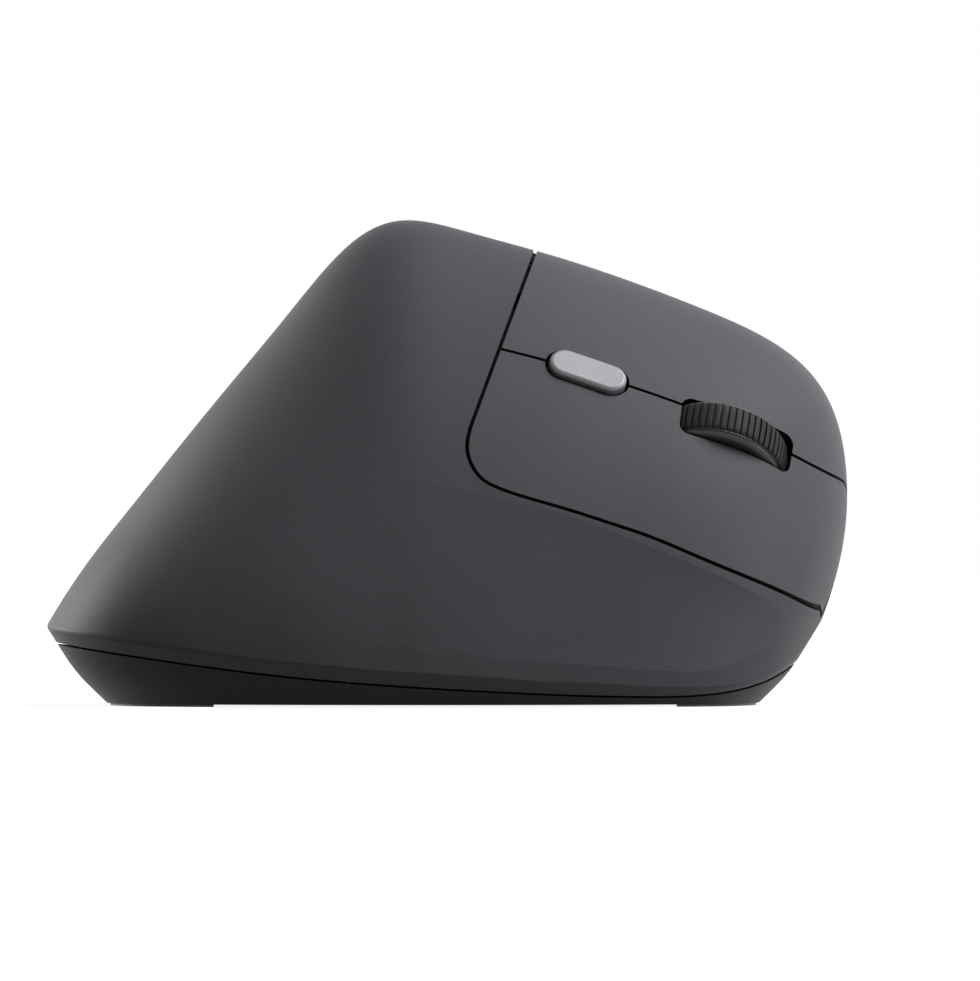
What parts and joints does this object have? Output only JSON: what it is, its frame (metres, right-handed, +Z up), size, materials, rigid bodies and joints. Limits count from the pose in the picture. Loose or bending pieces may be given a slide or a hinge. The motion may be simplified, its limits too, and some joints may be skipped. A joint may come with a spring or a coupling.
{
  "type": "vertical computer mouse",
  "caption": "Right-handed vertical mouse: a tall leaning housing with click panels over a ribbed scroll wheel, side buttons and a pointer-speed button.",
  "frame": {"origin": "middle of the housing's plan, on the surface that its feet stand on", "axes": "+X out of the side that the fingers lie on, +Y from the tail to the nose, +Z up"},
  "size_m": [0.075, 0.12, 0.0728],
  "materials": {
    "housing_plastic": "fine moulded texture, graphite grey",
    "panel_plastic": "fine moulded texture, graphite grey",
    "base_plastic": "fine moulded texture, near black",
    "inner_plastic": "plain moulded black",
    "wheel_plastic": "satin dark grey",
    "tread_rubber": "ribbed dark grey rubber",
    "silver_plastic": "satin silver coating",
    "glide_pad": "smooth low-friction pad",
    "black_plastic": "plain black",
    "circuit_board": "solder mask green",
    "steel": "bright plated steel",
    "clear_lens": "clear moulded lens",
    "cell_jacket": "printed jacket, plain"
  },
  "bodies": {
    "housing": {"upper_cover": "housing_plastic", "base_case": "base_plastic", "inner_frame": "inner_plastic", "pivot_rod": "steel", "finger_board": "circuit_board", "left_click_switch": "black_plastic", "right_click_switch": "black_plastic", "wheel_click_key": "black_plastic", "speed_key": "black_plastic", "board_screws": "steel", "thumb_board": "circuit_board", "forward_key": "black_plastic", "back_key": "black_plastic", "main_board": "circuit_board", "sensor_lens": "clear_lens", "sensor_chip": "black_plastic", "radio_chip": "black_plastic", "power_switch_body": "black_plastic", "aa_cell": "cell_jacket", "plus_contact": "steel", "minus_spring": "steel", "rear_foot": "glide_pad", "front_foot": "glide_pad", "case_screws": "steel"},
    "left_click": {"left_click_panel": "panel_plastic"},
    "right_click": {"right_click_panel": "panel_plastic"},
    "speed": {"speed_button": "silver_plastic"},
    "carriage": {"wheel_carriage": "inner_plastic", "scroll_encoder": "black_plastic"},
    "wheel": {"wheel_tyre": "tread_rubber", "wheel_hub": "wheel_plastic"},
    "forward": {"forward_button": "housing_plastic"},
    "back": {"back_button": "housing_plastic"},
    "power": {"power_switch": "silver_plastic"},
    "door": {"battery_door": "base_plastic"},
    "receiver": {"usb_receiver": "black_plastic"}
  },
  "joints": [
    {"name": "left_click_press", "type": "hinge", "parent": "housing", "child": "left_click", "pos_m": [-0.00622, 0.01151, 0.06283], "axis": [-0.6118, 0.1291, 0.7804], "range_deg": [0, 0.7], "stiffness_Nm_per_rad": 1.2, "springref_deg": -0.57},
    {"name": "right_click_press", "type": "hinge", "parent": "housing", "child": "right_click", "pos_m": [-0.00622, 0.01151, 0.06283], "axis": [-0.6118, 0.1291, 0.7804], "range_deg": [0, 0.7], "stiffness_Nm_per_rad": 1.2, "springref_deg": -0.57},
    {"name": "speed_press", "type": "slide", "parent": "housing", "child": "speed", "axis": [-0.7191, -0.1671, -0.6745], "range_m": [0, 0.0005], "stiffness_N_per_m": 1400, "springref_m": -0.0002},
    {"name": "wheel_press", "type": "slide", "parent": "housing", "child": "carriage", "axis": [-0.7393, -0.4442, -0.506], "range_m": [0, 0.0005], "stiffness_N_per_m": 2000, "springref_m": -0.0003},
    {"name": "wheel_turn", "type": "hinge", "parent": "carriage", "child": "wheel", "pos_m": [0.00662, 0.03973, 0.0367], "axis": [0.6118, -0.1291, -0.7804], "continuous": true},
    {"name": "forward_press", "type": "slide", "parent": "housing", "child": "forward", "axis": [1, 0, 0], "range_m": [0, 0.0005], "stiffness_N_per_m": 1400, "springref_m": -0.0002},
    {"name": "back_press", "type": "slide", "parent": "housing", "child": "back", "axis": [1, 0, 0], "range_m": [0, 0.0005], "stiffness_N_per_m": 1400, "springref_m": -0.0002},
    {"name": "power_slide", "type": "slide", "parent": "housing", "child": "power", "axis": [0, 1, 0], "range_m": [0, 0.003]},
    {"name": "door_hinge", "type": "hinge", "parent": "housing", "child": "door", "pos_m": [0, -0.01678, 0.00118], "axis": [1, 0, 0], "range_deg": [0, 80]},
    {"name": "receiver_pull", "type": "slide", "parent": "housing", "child": "receiver", "axis": [0, 0, -1], "range_m": [0, 0.012]}
  ]
}
